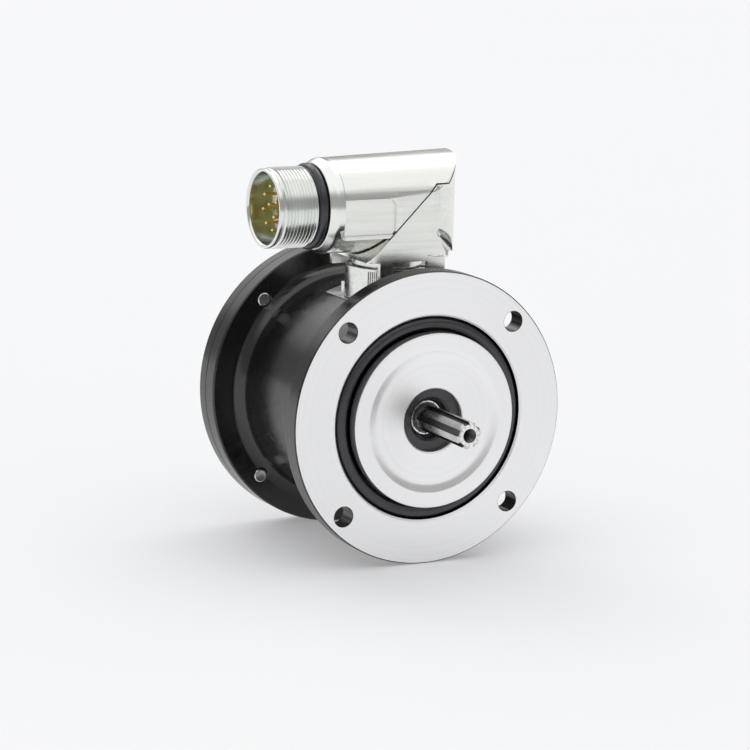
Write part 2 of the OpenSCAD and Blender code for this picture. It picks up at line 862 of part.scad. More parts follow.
housing();
flange_o_ring();
shaft();
seal_body();
seal_case();
garter_spring();
front_outer_race();
front_inner_race();
front_balls();
front_cage();
rear_outer_race();
rear_inner_race();
rear_balls();
rear_cage();
outer_spacer();
inner_spacer();
wave_spring();
housing_circlip();
shaft_circlip();
disc_hub();
hub_grub_screws();
code_disc();
disc_clamp_ring();
disc_screws();
led_holder();
led_lamp();
led_holder_screws();
scanning_mask();
sensor_chip();
sensor_board();
lower_standoffs();
main_board();
upper_standoffs();
board_screws();
board_chips();
board_plug();
wire_loom();
rear_cover();
cover_seal();
cover_screws();
swivel_base();
base_gasket();
base_screws();
swivel_seal();
swivel_circlip();
elbow_lower();
elbow_hood();
elbow_gasket();
elbow_screws();
elbow_wires();
connector_barrel();
barrel_o_ring();
contact_insert();
contact_pins();
insert_circlip();
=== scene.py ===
"""The looks of a flanged rotary encoder with a splined stub shaft and an angled round connector.

Lengths in this script are millimetres, in the CAD part's own frame: the shaft runs along Y with the
mounting face at Y = 0, the connector stands on +Z and its socket points to -X. Meshes are made in metres.
"""
import json
from math import asin, cos, hypot, pi, radians, sin

import bmesh
import bpy
from mathutils import Matrix, Vector


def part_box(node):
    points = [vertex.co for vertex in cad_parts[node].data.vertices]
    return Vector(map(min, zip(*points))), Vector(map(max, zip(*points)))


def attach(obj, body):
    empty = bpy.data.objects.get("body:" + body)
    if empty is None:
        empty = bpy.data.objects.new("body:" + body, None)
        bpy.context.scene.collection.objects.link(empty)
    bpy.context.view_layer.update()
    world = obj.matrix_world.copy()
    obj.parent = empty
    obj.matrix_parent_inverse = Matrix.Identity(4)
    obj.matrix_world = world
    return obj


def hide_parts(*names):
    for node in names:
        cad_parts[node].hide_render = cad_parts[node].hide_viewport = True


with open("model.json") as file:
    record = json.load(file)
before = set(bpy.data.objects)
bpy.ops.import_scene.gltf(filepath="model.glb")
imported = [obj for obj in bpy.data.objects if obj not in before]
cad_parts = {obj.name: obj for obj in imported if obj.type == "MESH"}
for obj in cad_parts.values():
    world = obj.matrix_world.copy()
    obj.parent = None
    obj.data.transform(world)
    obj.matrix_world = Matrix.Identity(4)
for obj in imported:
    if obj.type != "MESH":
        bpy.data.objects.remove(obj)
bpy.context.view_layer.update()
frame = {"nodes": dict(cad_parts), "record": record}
MM = 0.001

# ---------------------------------------------------------------- dimensions


def low(node):
    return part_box(node)[0] / MM


def high(node):
    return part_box(node)[1] / MM


# housing, in the order of the shaft from the front
SPIGOT_R = 25.0
SPIGOT_Y = low("housing").y
DISH_Y = -2.7
SEAL_R = 9.05
SEAL_END_Y = 3.2
GROOVE_R = SPIGOT_R + 4.2
GROOVE_DEPTH = 4.05
SPIGOT_RELIEF = 0.6
FLANGE_R = high("housing").x
FLANGE_T = 6.0
RIM_CHAMFER = 0.35
BODY_R = 32.5
REAR_Y = 53.8
COVER_Y = high("housing").y
BACK_Y = high("rear_cover").y
CAVITY_R = 26.5
BEARING_R = 13.0
HUB_R = 17.0
HUB_Y = (12.0, 30.0)
COVER_GROOVE_R = (29.0, 31.2)
LAMP_SCREW_X = 3.4
LAMP_SCREW_Z = -19.5
WIRE_HOLE_R = 6.0

# holes on circles about the shaft
PITCH_R = 37.0
BOSS_PITCH_R = 23.0
BASE_PITCH_R = 9.8
HOLE_R = 2.9
COVER_HOLE_R = 2.0
HOLE_ANGLES = (45, 135, 225, 315)
HEAD_POCKET_R = 3.7
HEAD_SEAT_Y = BACK_Y - 2.6

# shaft
TIP_Y = low("shaft").y
SPLINE_R = 3.8
SPLINE_ROOT_R = 3.05
SPLINE_HALF_SLOT = 0.95
SPLINE_TEETH = 6
JOURNAL_R = 5.0
TAP_MOUTH_R = 2.02

# connector
SWIVEL_Y = 28.0
SEAT_Z = low("base_gasket").z
FLAT_HALF = 13.0
SOCKET_Z = (low("connector_barrel").z + high("connector_barrel").z) / 2
LIP_X = low("connector_barrel").x
HOOD_X = low("elbow_hood").x
BARREL_END_X = high("connector_barrel").x
INSERT_X = low("barrel_o_ring").x - 3.85
THREAD_X = LIP_X + 1.6
THREAD_CREST_R = 11.5
THREAD_DEPTH = 0.61
THREAD_PITCH = 1.0
RING_X = THREAD_X + 11
COLLAR_X = RING_X + 2.5
COLLAR_R = 13.6
PIN_X = low("contact_pins").x
PIN_END_X = high("contact_pins").x

GROUND_Z = -FLANGE_R

# ---------------------------------------------------------------- mesh building


def along_x(y, z):
    """Places (r, angle, t) about a line along X: at radius r and angle from +Y towards +Z, at X = t."""
    return lambda r, a, t: Vector((t, y + r * cos(a), z + r * sin(a))) * MM


def along_y(x, z):
    """Places (r, angle, t) about a line along Y: at radius r and angle from +X towards +Z, at Y = t."""
    return lambda r, a, t: Vector((x + r * cos(a), t, z + r * sin(a))) * MM


def along_z(x, y):
    """Places (r, angle, t) about a line along Z: at radius r and angle from +X towards +Y, at Z = t."""
    return lambda r, a, t: Vector((x + r * cos(a), y + r * sin(a), t)) * MM


ABOUT_SHAFT = along_y(0, 0)
ABOUT_SOCKET = along_x(SWIVEL_Y, SOCKET_Z)


def skin(bm, rings, place, wrap=0):
    """Faces between successive rings of (r, angle, t); a ring with one point is a pole.

    With wrap, each row of a screw thread closes on the row that many places further on.
    """
    rows = [[bm.verts.new(place(*p)) for p in ring] for ring in rings]
    for i in range(len(rows) - 1):
        a, b = rows[i], rows[i + 1]
        count = max(len(a), len(b))
        for k in range(count):
            last = k == count - 1
            ahead_a = rows[min(i + wrap, len(rows) - 1)] if last else a
            ahead_b = rows[min(i + 1 + wrap, len(rows) - 1)] if last else b
            m = (k + 1) % count
            corners = [a[k % len(a)], ahead_a[m % len(a)], ahead_b[m % len(b)], b[k % len(b)]]
            unique = list(dict.fromkeys(corners))
            if len(unique) > 2:
                bm.faces.new(unique)


def circle_ring(r, t, angles):
    """One ring for skin, or a pole where r is nothing."""
    return [(0, 0, t)] if r < 1e-6 else [(r, a, t) for a in angles]


def turn(count):
    """The angles of a full turn in that many equal steps."""
    return [2 * pi * k / count for k in range(count)]


def rounded(profile):
    """Profile points (r, t) or (r, t, size), where a corner with a size becomes a short curve."""
    steps = 3
    out = []
    for i, point in enumerate(profile):
        p = Vector(point[:2])
        if len(point) == 2:
            out.append(tuple(p))
            continue
        before = Vector(profile[i - 1][:2]) - p
        after = Vector(profile[(i + 1) % len(profile)][:2]) - p
        cut = min(point[2], before.length * 0.49, after.length * 0.49)
        start = p + before.normalized() * cut
        end = p + after.normalized() * cut
        for k in range(steps + 1):
            f = k / steps
            out.append(tuple(start * (1 - f) ** 2 + p * 2 * f * (1 - f) + end * f * f))
    return out


def to_object(name, bm, weld=1e-7):
    """An object in the scene from a bmesh, less loose edges and points doubled within weld metres."""
    bmesh.ops.remove_doubles(bm, verts=bm.verts, dist=weld)
    bmesh.ops.dissolve_degenerate(bm, edges=bm.edges, dist=weld)
    bmesh.ops.delete(bm, geom=[e for e in bm.edges if not e.link_faces], context="EDGES")
    bmesh.ops.recalc_face_normals(bm, faces=bm.faces)
    mesh = bpy.data.meshes.new(name)
    bm.to_mesh(mesh)
    bm.free()
    piece = bpy.data.objects.new(name, mesh)
    bpy.context.scene.collection.objects.link(piece)
    return piece


def lathe(name, profile, place, count=192, closed=True):
    """A solid of revolution from a closed profile of (r, t)."""
    points = rounded(profile)
    angles = turn(count)
    rings = [circle_ring(r, t, angles) for r, t in points]
    if closed:
        rings.append(rings[0])
    bm = bmesh.new()
    skin(bm, rings, place)
    return to_object(name, bm)


def drill(r, x, y0, y1, z, mouth=0.0, count=48):
    """A cutter along Y at (x, z); mouth is the size of the chamfer at y0."""
    profile = [(0, y0 - 1), (r + mouth + 1, y0 - 1), (r, y0 + mouth), (r, y1), (0, y1)]
    return lathe("cutter", profile, along_y(x, z), count, closed=False)


def post(r, x, y0, y1, z, count=32):
    """A plain round bar along Y at (x, z)."""
    return lathe("bar", [(0, y0), (r, y0), (r, y1), (0, y1)], along_y(x, z), count, closed=False)


def upright(r, x, y, z0, z1, count):
    """A plain round bar along Z at (x, y)."""
    return lathe("bar", [(0, z0), (r, z0), (r, z1), (0, z1)], along_z(x, y), count, closed=False)


def block(x0, x1, y0, y1, z0, z1):
    """A plain box between those limits."""
    bm = bmesh.new()
    bmesh.ops.create_cube(bm, size=1)
    for v in bm.verts:
        x = x0 if v.co.x < 0 else x1
        y = y0 if v.co.y < 0 else y1
        z = z0 if v.co.z < 0 else z1
        v.co = Vector((x, y, z)) * MM
    return to_object("cutter", bm)


def settle(piece):
    """Applies the piece's modifiers."""
    bpy.context.view_layer.update()
    depsgraph = bpy.context.evaluated_depsgraph_get()
    mesh = bpy.data.meshes.new_from_object(piece.evaluated_get(depsgraph))
    piece.modifiers.clear()
    piece.data = mesh
    mesh.name = piece.name
    return piece


def combine(piece, others, operation="DIFFERENCE"):
    """Cuts the others from the piece, or joins them on, one after another."""
    for other in others:
        step = piece.modifiers.new("combine", "BOOLEAN")
        step.operation = operation
        step.solver = "EXACT"
        step.object = other
        settle(piece)
        bpy.data.objects.remove(other)
    return piece


def bevel(piece, width):
    """Rounds the edges where faces meet at more than 28 degrees."""
    step = piece.modifiers.new("bevel", "BEVEL")
    step.width = width * MM
    step.segments = 2
    step.limit_method = "ANGLE"
    step.angle_limit = radians(28)
    step.miter_outer = "MITER_ARC"
    return settle(piece)


def shade(piece):
    """Smooth shading with sharp edges, and normals that follow the large faces."""
    piece.data.shade_smooth()
    piece.data.set_sharp_from_angle(angle=radians(32))
    step = piece.modifiers.new("normals", "WEIGHTED_NORMAL")
    step.keep_sharp = True
    return settle(piece)


def dressed(name, node, width):
    """A copy of a CAD node's mesh with its flat faces joined and its edges rounded."""
    weld = 2e-6
    bm = bmesh.new()
    bm.from_mesh(frame["nodes"][node].data)
    bmesh.ops.remove_doubles(bm, verts=bm.verts, dist=weld)
    bmesh.ops.dissolve_limit(bm, angle_limit=radians(0.6), verts=bm.verts, edges=bm.edges)
    return shade(bevel(to_object(name, bm, weld), width))


def in_zones(piece, zone_of):
    """Gives each face the material whose number zone_of(face) says."""
    zones = [int(zone_of(face)) for face in piece.data.polygons]
    piece.data.polygons.foreach_set("material_index", zones)
    piece.data.update()


# ---------------------------------------------------------------- materials


class Paint:
    """A material around one Principled shader, with helpers for its textures."""

    def __init__(self, name, base, metallic=0.0, roughness=0.5, **sockets):
        self.material = bpy.data.materials.new(name)
        self.material.use_nodes = True
        self.tree = self.material.node_tree
        self.shader = self.tree.nodes["Principled BSDF"]
        self.base = base
        self.shader.inputs["Base Color"].default_value = (*base, 1)
        self.shader.inputs["Metallic"].default_value = metallic
        self.shader.inputs["Roughness"].default_value = roughness
        for key, value in sockets.items():
            self.shader.inputs[key.replace("_", " ")].default_value = value
        self.bumps = None

    def node(self, kind, **settings):
        n = self.tree.nodes.new(kind)
        for key, value in settings.items():
            setattr(n, key, value)
        return n

    def link(self, a, b):
        self.tree.links.new(a, b)

    def place(self, stretch=(1, 1, 1)):
        coordinates = self.node("ShaderNodeTexCoord")
        mapping = self.node("ShaderNodeMapping")
        mapping.inputs["Scale"].default_value = stretch
        self.link(coordinates.outputs["Object"], mapping.inputs["Vector"])
        return mapping.outputs["Vector"]

    def noise(self, scale, stretch=(1, 1, 1), detail=4.0):
        """A cloudy pattern with that many waves per metre."""
        n = self.node("ShaderNodeTexNoise")
        n.inputs["Scale"].default_value = scale
        n.inputs["Detail"].default_value = detail
        n.inputs["Roughness"].default_value = 0.55
        self.link(self.place(stretch), n.inputs["Vector"])
        return n.outputs["Fac"]

    def spots(self, scale):
        """A grain of small cells, for moulded plastic."""
        n = self.node("ShaderNodeTexVoronoi")
        n.inputs["Scale"].default_value = scale
        self.link(self.place(), n.inputs["Vector"])
        return n.outputs["Distance"]

    def radius(self, axis):
        """Distance from an axis through the origin, in metres."""
        flat = [0.0 if k == "XYZ".index(axis) else 1.0 for k in range(3)]
        scaled = self.node("ShaderNodeVectorMath", operation="MULTIPLY")
        scaled.inputs[1].default_value = flat
        self.link(self.place(), scaled.inputs[0])
        length = self.node("ShaderNodeVectorMath", operation="LENGTH")
        self.link(scaled.outputs[0], length.inputs[0])
        return length.outputs["Value"]

    def rings(self, axis, per_mm):
        """Turning marks: a noise that only changes with the distance from an axis."""
        n = self.node("ShaderNodeTexNoise", noise_dimensions="1D")
        n.inputs["Scale"].default_value = per_mm / MM
        n.inputs["Detail"].default_value = 3.0
        self.link(self.radius(axis), n.inputs["W"])
        return n.outputs["Fac"]

    def tone(self, value, first, second, low_in=0.3, high_in=0.7):
        """Colours the surface between two colours by a pattern."""
        ramp = self.node("ShaderNodeValToRGB")
        ramp.color_ramp.elements[0].position = low_in
        ramp.color_ramp.elements[0].color = (*first, 1)
        ramp.color_ramp.elements[1].position = high_in
        ramp.color_ramp.elements[1].color = (*second, 1)
        self.link(value, ramp.inputs["Fac"])
        self.link(ramp.outputs["Color"], self.shader.inputs["Base Color"])

    def rough(self, value, low_value, high_value):
        """Spreads a pattern's middle part over a range of roughness."""
        n = self.node("ShaderNodeMapRange")
        n.inputs["From Min"].default_value = 0.3
        n.inputs["From Max"].default_value = 0.7
        n.inputs["To Min"].default_value = low_value
        n.inputs["To Max"].default_value = high_value
        self.link(value, n.inputs["Value"])
        self.link(n.outputs["Result"], self.shader.inputs["Roughness"])

    def bump(self, value, height, strength=1.0):
        """Adds relief of that height in millimetres."""
        n = self.node("ShaderNodeBump")
        n.inputs["Distance"].default_value = height * MM
        n.inputs["Strength"].default_value = strength
        self.link(value, n.inputs["Height"])
        if self.bumps:
            self.link(self.bumps, n.inputs["Normal"])
        self.bumps = n.outputs["Normal"]
        self.link(self.bumps, self.shader.inputs["Normal"])

    def spun(self, axis):
        """Reflections stretch across the turning marks."""
        tangent = self.node("ShaderNodeTangent", direction_type="RADIAL", axis=axis)
        self.link(tangent.outputs["Tangent"], self.shader.inputs["Tangent"])


def shades(colour, amount):
    """A darker and a lighter shade of a colour."""
    return [c * (1 - amount) for c in colour], [min(1, c * (1 + amount)) for c in colour]


def anodised():
    p = Paint("black_anodised", (0.0045, 0.0045, 0.005), 0.0, 0.22, Specular_IOR_Level=0.85)
    p.tone(p.noise(90), *shades(p.base, 0.25))
    p.rough(p.noise(420, detail=6), 0.17, 0.28)
    p.bump(p.noise(2600, detail=3), 0.0012)
    p.bump(p.rings("Y", 1.6), 0.0015)
    return p.material


def turned_aluminium():
    p = Paint("turned_aluminium", (0.95, 0.95, 0.955), 1.0, 0.34, Anisotropic=0.4)
    p.tone(p.rings("Y", 0.9), *shades(p.base, 0.012))
    p.rough(p.rings("Y", 2.4), 0.3, 0.38)
    p.bump(p.rings("Y", 5.0), 0.0012)
    p.spun("Y")
    return p.material


def nickel(name, colour, stretch, streak, roughness):
    """Plated metal with fine streaks of that height, along the axes where stretch is small."""
    p = Paint(name, colour, 1.0, roughness)
    p.tone(p.noise(160, stretch, 5), *shades(colour, 0.045))
    p.rough(p.noise(900, stretch, 4), roughness * 0.75, roughness * 1.3)
    p.bump(p.noise(700, stretch, 3), streak)
    p.bump(p.noise(60), 0.006)
    return p.material


def rubber(name="black_rubber", level=0.02, roughness=0.3):
    p = Paint(name, (level, level, level * 1.3), 0.0, roughness, Specular_IOR_Level=0.75)
    p.tone(p.noise(300), *shades(p.base, 0.25))
    p.rough(p.noise(700), roughness * 0.85, roughness * 1.2)
    p.bump(p.noise(1800, detail=5), 0.006)
    return p.material


def machined_steel(name, colour, roughness, axis="Y"):
    p = Paint(name, colour, 1.0, roughness)
    p.tone(p.noise(220, detail=5), *shades(colour, 0.06))
    p.rough(p.noise(900), roughness * 0.8, roughness * 1.25)
    p.bump(p.rings(axis, 4.0), 0.001)
    p.bump(p.noise(1500), 0.0006)
    return p.material


def moulded(name, colour, roughness):
    p = Paint(name, colour, 0.0, roughness)
    p.tone(p.noise(180), *shades(colour, 0.08))
    p.rough(p.noise(800), roughness * 0.85, roughness * 1.15)
    p.bump(p.spots(1400), 0.004, 0.5)
    return p.material


def circuit_board():
    p = Paint("circuit_board", (0.02, 0.13, 0.05), 0.0, 0.35)
    tracks = p.node("ShaderNodeTexBrick", offset=0.5)
    tracks.inputs["Scale"].default_value = 260
    tracks.inputs["Mortar Size"].default_value = 0.03
    turned = p.node("ShaderNodeMapping")
    turned.inputs["Rotation"].default_value = (radians(90), 0, 0)
    p.link(p.place(), turned.inputs["Vector"])
    p.link(turned.outputs["Vector"], tracks.inputs["Vector"])
    p.tone(tracks.outputs["Fac"], (0.02, 0.12, 0.045), (0.05, 0.22, 0.09), 0.0, 1.0)
    p.bump(tracks.outputs["Fac"], 0.03)
    return p.material


def glass():
    p = Paint("coated_glass", (0.85, 0.93, 0.95), 0.0, 0.03, Transmission_Weight=1.0, IOR=1.5)
    p.tone(p.rings("Y", 0.7), (0.75, 0.88, 0.92), (0.93, 0.97, 0.98))
    p.bump(p.rings("Y", 2.0), 0.002)
    return p.material


ANODISED = anodised()
SPLINE_STEEL = machined_steel("spline_steel", (0.68, 0.67, 0.66), 0.27)
# painted shade: a dark steel for the shaft's slots, its tapped hole and the step behind the spline
SHADED_STEEL = machined_steel("painted_shade_steel", (0.13, 0.125, 0.12), 0.4)
# a brighter steel for the shaft's tip face, and a painted highlight on the shoulder's chamfer
TIP_STEEL_AND_HIGHLIGHT = machined_steel("tip_steel_and_painted_highlight", (0.9, 0.9, 0.9), 0.3)
TURNED = turned_aluminium()
HOOD = nickel("satin_nickel", (0.83, 0.84, 0.80), (0.03, 1, 1), 0.008, 0.24)
BARREL = nickel("turned_nickel", (0.83, 0.85, 0.82), (1, 0.1, 0.1), 0.004, 0.2)
RUBBER = rubber()
GOLD = machined_steel("gold_plate", (0.95, 0.70, 0.30), 0.2, "X")
OLIVE = moulded("insert_plastic", (0.31, 0.36, 0.13), 0.35)
SLOT_MATERIALS = {
    "anodised_housing": ANODISED,
    "shaft_steel": machined_steel("ground_steel", (0.74, 0.74, 0.75), 0.22),
    "bearing_steel": machined_steel("bearing_steel", (0.70, 0.71, 0.73), 0.12),
    "brass": machined_steel("brass", (0.80, 0.62, 0.30), 0.24),
    "seal_rubber": RUBBER,
    "spring_steel": machined_steel("spring_steel", (0.55, 0.56, 0.58), 0.28),
    "screw_steel": machined_steel("screw_steel", (0.66, 0.67, 0.68), 0.26),
    "hub_aluminium": machined_steel("hub_aluminium", (0.80, 0.80, 0.81), 0.3),
    "code_glass": glass(),
    "black_plastic": moulded("black_plastic", (0.02, 0.02, 0.022), 0.4),
    "circuit_board": circuit_board(),
    "pale_plastic": moulded("pale_plastic", (0.72, 0.70, 0.62), 0.45),
    "wire_sleeve": rubber("wire_sleeve", 0.03, 0.5),
    "nickel_casting": HOOD,
    "insert_plastic": OLIVE,
    "gold_contacts": GOLD,
}


def finish_piece(piece, body, slot, nodes, *materials):
    """Gives a piece its materials and its body, and hides the CAD nodes that it stands for; slot is not
    used.
    """
    piece.data.materials.clear()
    for m in materials:
        piece.data.materials.append(m)
    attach(piece, body)
    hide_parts(*nodes)
    return piece


# ---------------------------------------------------------------- housing


def on_pitch_circle(r=PITCH_R):
    """The four places, as pairs, where holes sit on a circle of radius r."""
    return [(r * cos(radians(a)), r * sin(radians(a))) for a in HOLE_ANGLES]


def is_bright(centre, normal):
    """Whether a face is turned bare: flange front, spigot, dish, seal seat and the connector's flat."""
    r = hypot(centre.x, centre.z)
    on_flat = abs(centre.x) < FLAT_HALF + 1 and abs(centre.y - SWIVEL_Y) < FLAT_HALF + 0.1
    if on_flat and centre.z > SEAT_Z - 0.02 and r < BODY_R - 0.01:
        return True
    for x, z in on_pitch_circle():
        if hypot(centre.x - x, centre.z - z) < HOLE_R + 0.02 and abs(normal.y) < 0.3:
            return False
    if r > FLANGE_R - RIM_CHAMFER + 0.01:
        return False
    if GROOVE_R - 0.02 < r < GROOVE_R + 0.6:
        return centre.y < RIM_CHAMFER + 0.01
    return centre.y < 0.02 or (r < SEAL_R + 0.45 and centre.y < SEAL_END_Y + 0.1)


def front_profile():
    """Seal seat, dish, spigot, groove and front flange, from the inside outwards."""
    groove_wall_r = SPIGOT_R - SPIGOT_RELIEF
    dish_r0, dish_r1, rim_r = 9.4, 18.8, 20.5
    return [
        (SEAL_R, SEAL_END_Y), (SEAL_R, DISH_Y + 0.3, 0.1), (dish_r0, DISH_Y, 0.1), (dish_r1, DISH_Y, 0.9),
        (rim_r, SPIGOT_Y, 0.35), (SPIGOT_R, SPIGOT_Y, 0.4), (SPIGOT_R, 0, 0.1),
        (groove_wall_r, SPIGOT_RELIEF), (groove_wall_r, GROOVE_DEPTH, 0.3), (GROOVE_R, GROOVE_DEPTH, 0.3),
        (GROOVE_R, RIM_CHAMFER, 0.05), (GROOVE_R + 0.45, 0), (GROOVE_R + 0.53, 0.1),
        (GROOVE_R + 0.6, 0), (FLANGE_R - RIM_CHAMFER, 0, 0.05), (FLANGE_R, RIM_CHAMFER, 0.05),
        (FLANGE_R, FLANGE_T - 0.3, 0.1), (FLANGE_R - 0.3, FLANGE_T, 0.1),
    ]


def rear_profile():
    """Waist, the fillet into the rear flange, and the groove of the cover's seal."""
    fillet = 4
    angles = [radians(15 * k) for k in range(1, 6)]
    curve = [(BODY_R + fillet - fillet * cos(a), REAR_Y - fillet + fillet * sin(a)) for a in angles]
    inner, outer = COVER_GROOVE_R
    bottom = COVER_Y - 1.5
    return [(BODY_R, FLANGE_T, 0.8), (BODY_R, REAR_Y - fillet)] + curve + [
        (BODY_R + fillet, REAR_Y), (FLANGE_R - 0.4, REAR_Y, 0.1), (FLANGE_R, REAR_Y + 0.4, 0.1),
        (FLANGE_R, COVER_Y - 0.25, 0.05), (FLANGE_R - 0.25, COVER_Y, 0.05),
        (outer, COVER_Y), (outer, bottom), (inner, bottom), (inner, COVER_Y),
    ]


def inner_profile():
    """Electronics space, pocket round the bearing hub, circlip groove and bearing bore."""
    hub_y, end_y = HUB_Y
    clip_r, clip_y0, clip_y1 = BEARING_R + 0.7, 27.4, 28.6
    stop_r, stop_y = 8.5, 4.2
    return [
        (CAVITY_R, COVER_Y), (CAVITY_R, hub_y), (HUB_R, hub_y), (HUB_R, end_y), (BEARING_R, end_y),
        (BEARING_R, clip_y1), (clip_r, clip_y1), (clip_r, clip_y0), (BEARING_R, clip_y0),
        (BEARING_R, stop_y), (stop_r, stop_y), (stop_r, SEAL_END_Y),
    ]


def housing_additions():
    """Bosses of the board's standoffs, and the block under the lamp holder."""
    start = HUB_Y[0] - 0.5
    end = HUB_Y[1]
    bosses = [post(3.9, x, start, end, z) for x, z in on_pitch_circle(BOSS_PITCH_R)]
    return bosses + [block(-6, 6, start, end, -CAVITY_R - 1, -16)]


def housing_cutters():
    """Bolt and screw holes, the connector's flat and the wires' way down."""
    past_hub = HUB_Y[1] + 1
    past_flat = 33
    cutters = [drill(HOLE_R, x, 0, FLANGE_T + 2, z, 0.15) for x, z in on_pitch_circle()]
    cutters += [
        drill(COVER_HOLE_R, x, REAR_Y, COVER_Y + 1, z, 0.35, 32) for x, z in on_pitch_circle()
    ]
    cutters += [post(1.25, x, 24, past_hub, z, 24) for x, z in on_pitch_circle(BOSS_PITCH_R)]
    lamp_screws = (-LAMP_SCREW_X, LAMP_SCREW_X)
    cutters += [post(1, x, 26, past_hub, LAMP_SCREW_Z, 24) for x in lamp_screws]
    cutters.append(block(
        -FLAT_HALF - 1, FLAT_HALF + 1, SWIVEL_Y - FLAT_HALF, SWIVEL_Y + FLAT_HALF, SEAT_Z, SEAT_Z + 8,
    ))
    cutters.append(upright(WIRE_HOLE_R, 0, SWIVEL_Y, 20, past_flat, 48))
    cutters += [
        upright(1, x, SWIVEL_Y + y, SEAT_Z - 2.8, past_flat, 24)
        for x, y in on_pitch_circle(BASE_PITCH_R)
    ]
    return cutters


def housing():
    profile = front_profile() + rear_profile() + inner_profile()
    piece = lathe("housing_shell", profile, ABOUT_SHAFT, 240)
    combine(piece, housing_additions(), "UNION")
    combine(piece, housing_cutters())
    shade(piece)
    finish_piece(piece, "stator", "anodised_housing", ["housing"], ANODISED, TURNED)
    in_zones(piece, lambda face: is_bright(face.center / MM, face.normal))


def rear_lid():
    lip_r = CAVITY_R - 0.1
    well_r = CAVITY_R - 3
    recess_r, recess_y = 28, BACK_Y - 0.6
    profile = [
        (0, COVER_Y + 1), (well_r, COVER_Y + 1), (well_r, COVER_Y - 2), (lip_r, COVER_Y - 2, 0.2),
        (lip_r, COVER_Y), (FLANGE_R - 0.25, COVER_Y, 0.05), (FLANGE_R, COVER_Y + 0.25, 0.05),
        (FLANGE_R, BACK_Y - 0.8, 0.2), (FLANGE_R - 0.8, BACK_Y, 0.2),
        (recess_r + 0.6, BACK_Y, 0.1), (recess_r, recess_y, 0.1), (0, recess_y),
    ]
    piece = lathe("rear_lid", profile, ABOUT_SHAFT, 240, closed=False)
    clear_r = 2.15
    bore = [
        (0, BACK_Y + 1), (HEAD_POCKET_R + 1.2, BACK_Y + 1), (HEAD_POCKET_R, BACK_Y - 0.15),
        (HEAD_POCKET_R, HEAD_SEAT_Y, 0.2), (clear_r, HEAD_SEAT_Y), (clear_r, COVER_Y - 1),
        (0, COVER_Y - 1),
    ]
    combine(piece, [
        lathe("cutter", bore, along_y(x, z), 48, closed=False) for x, z in on_pitch_circle()
    ])
    shade(piece)
    finish_piece(piece, "stator", "anodised_housing", ["rear_cover"], ANODISED)


# ---------------------------------------------------------------- fasteners


def hexagon(across, angles):
    """Radius of a hexagon's outline at each angle."""
    return [across / 2 / cos((a % (pi / 3)) - pi / 6) for a in angles]


def cap_screw_rings(tip_y, head_y, top_y, shank_r, head_r, across):
    """Rings of a socket cap screw along Y, with a rounded tip and a knurled head."""
    angles = turn(72)
    knurl = [head_r - (0.1 if k % 2 else 0) for k in range(len(angles))]
    socket = hexagon(across, angles)
    chamfer = 0.12
    tip = rounded([
        (shank_r * 0.5, tip_y + 0.1), (shank_r * 0.72, tip_y, 0.2),
        (shank_r * 0.88, tip_y, 0.1), (shank_r, tip_y + 0.22),
    ])
    rings = [circle_ring(0, tip_y + 0.12, angles)]
    rings += [circle_ring(r, t, angles) for r, t in tip]
    rings += [circle_ring(shank_r, head_y, angles), circle_ring(head_r - 0.15, head_y, angles)]
    for t, inset in ((head_y + 0.15, 0), (top_y - 0.3, 0), (top_y - 0.08, chamfer)):
        rings.append([(r - inset, a, t) for r, a in zip(knurl, angles)])
    rings.append(circle_ring(head_r - 0.3, top_y, angles))
    for t, widening in ((top_y, chamfer), (top_y - chamfer, 0), (top_y - 1.5, 0)):
        rings.append([(r + widening, a, t) for r, a in zip(socket, angles)])
    rings.append(circle_ring(0, top_y - 1.8, angles))
    return rings


def lid_screws():
    bm = bmesh.new()
    for x, z in on_pitch_circle():
        rings = cap_screw_rings(
            tip_y=REAR_Y - 0.2, head_y=HEAD_SEAT_Y, top_y=BACK_Y - 0.2,
            shank_r=1.98, head_r=3.5, across=2.9,
        )
        skin(bm, rings, along_y(x, z))
    piece = shade(to_object("lid_screws", bm))
    finish_piece(piece, "stator", "screw_steel", ["cover_screws"], SLOT_MATERIALS["screw_steel"])


# ---------------------------------------------------------------- shaft


THREAD_STEPS = ((0.0, 0.0), (0.125, 0.0), (0.5, 1.0), (0.625, 1.0))  # share of the pitch, share of the depth


def helix_rows(r_crest, depth, pitch, t0, t1, angles, end_r, inside=False):
    """Rows of a screw thread between two plain circles of radius end_r, for thread_skin."""
    sign = -1 if inside else 1
    turns = int((t1 - t0) / pitch) + 1
    rows = []
    for k in range(-2, turns):
        for offset, fall in THREAD_STEPS:
            row = []
            for a in angles:
                t = t0 + (k + offset + a / (2 * pi)) * pitch
                t = min(max(t, t0), t1)
                r = r_crest - sign * depth * fall
                near = min(t - t0, t1 - t)
                limit = end_r + sign * near
                r = min(r, limit) if sign > 0 else max(r, limit)
                row.append((end_r if near <= 0 else r, a, t))
            rows.append(row)
    rows.append([(end_r, a, t1) for a in angles])
    return rows


def thread_skin(bm, rows, place):
    skin(bm, rows, place, wrap=len(THREAD_STEPS))


def spline_outline():
    """Outline of the spline as (r, angle): parallel-sided slots between arcs."""
    arc_steps = 6
    corner_r = hypot(SPLINE_ROOT_R, SPLINE_HALF_SLOT)
    top = asin(SPLINE_HALF_SLOT / SPLINE_R)
    bottom = asin(SPLINE_HALF_SLOT / corner_r)
    out = []
    for k in range(SPLINE_TEETH):
        slot = radians(45 + 360 / SPLINE_TEETH * k)
        out += [
            (SPLINE_R, slot - top), (corner_r, slot - bottom), (SPLINE_ROOT_R, slot),
            (corner_r, slot + bottom),
        ]
        first = slot + top
        last = slot + 2 * pi / SPLINE_TEETH - top
        out += [(SPLINE_R, first + (last - first) * i / arc_steps) for i in range(arc_steps)]
    return out


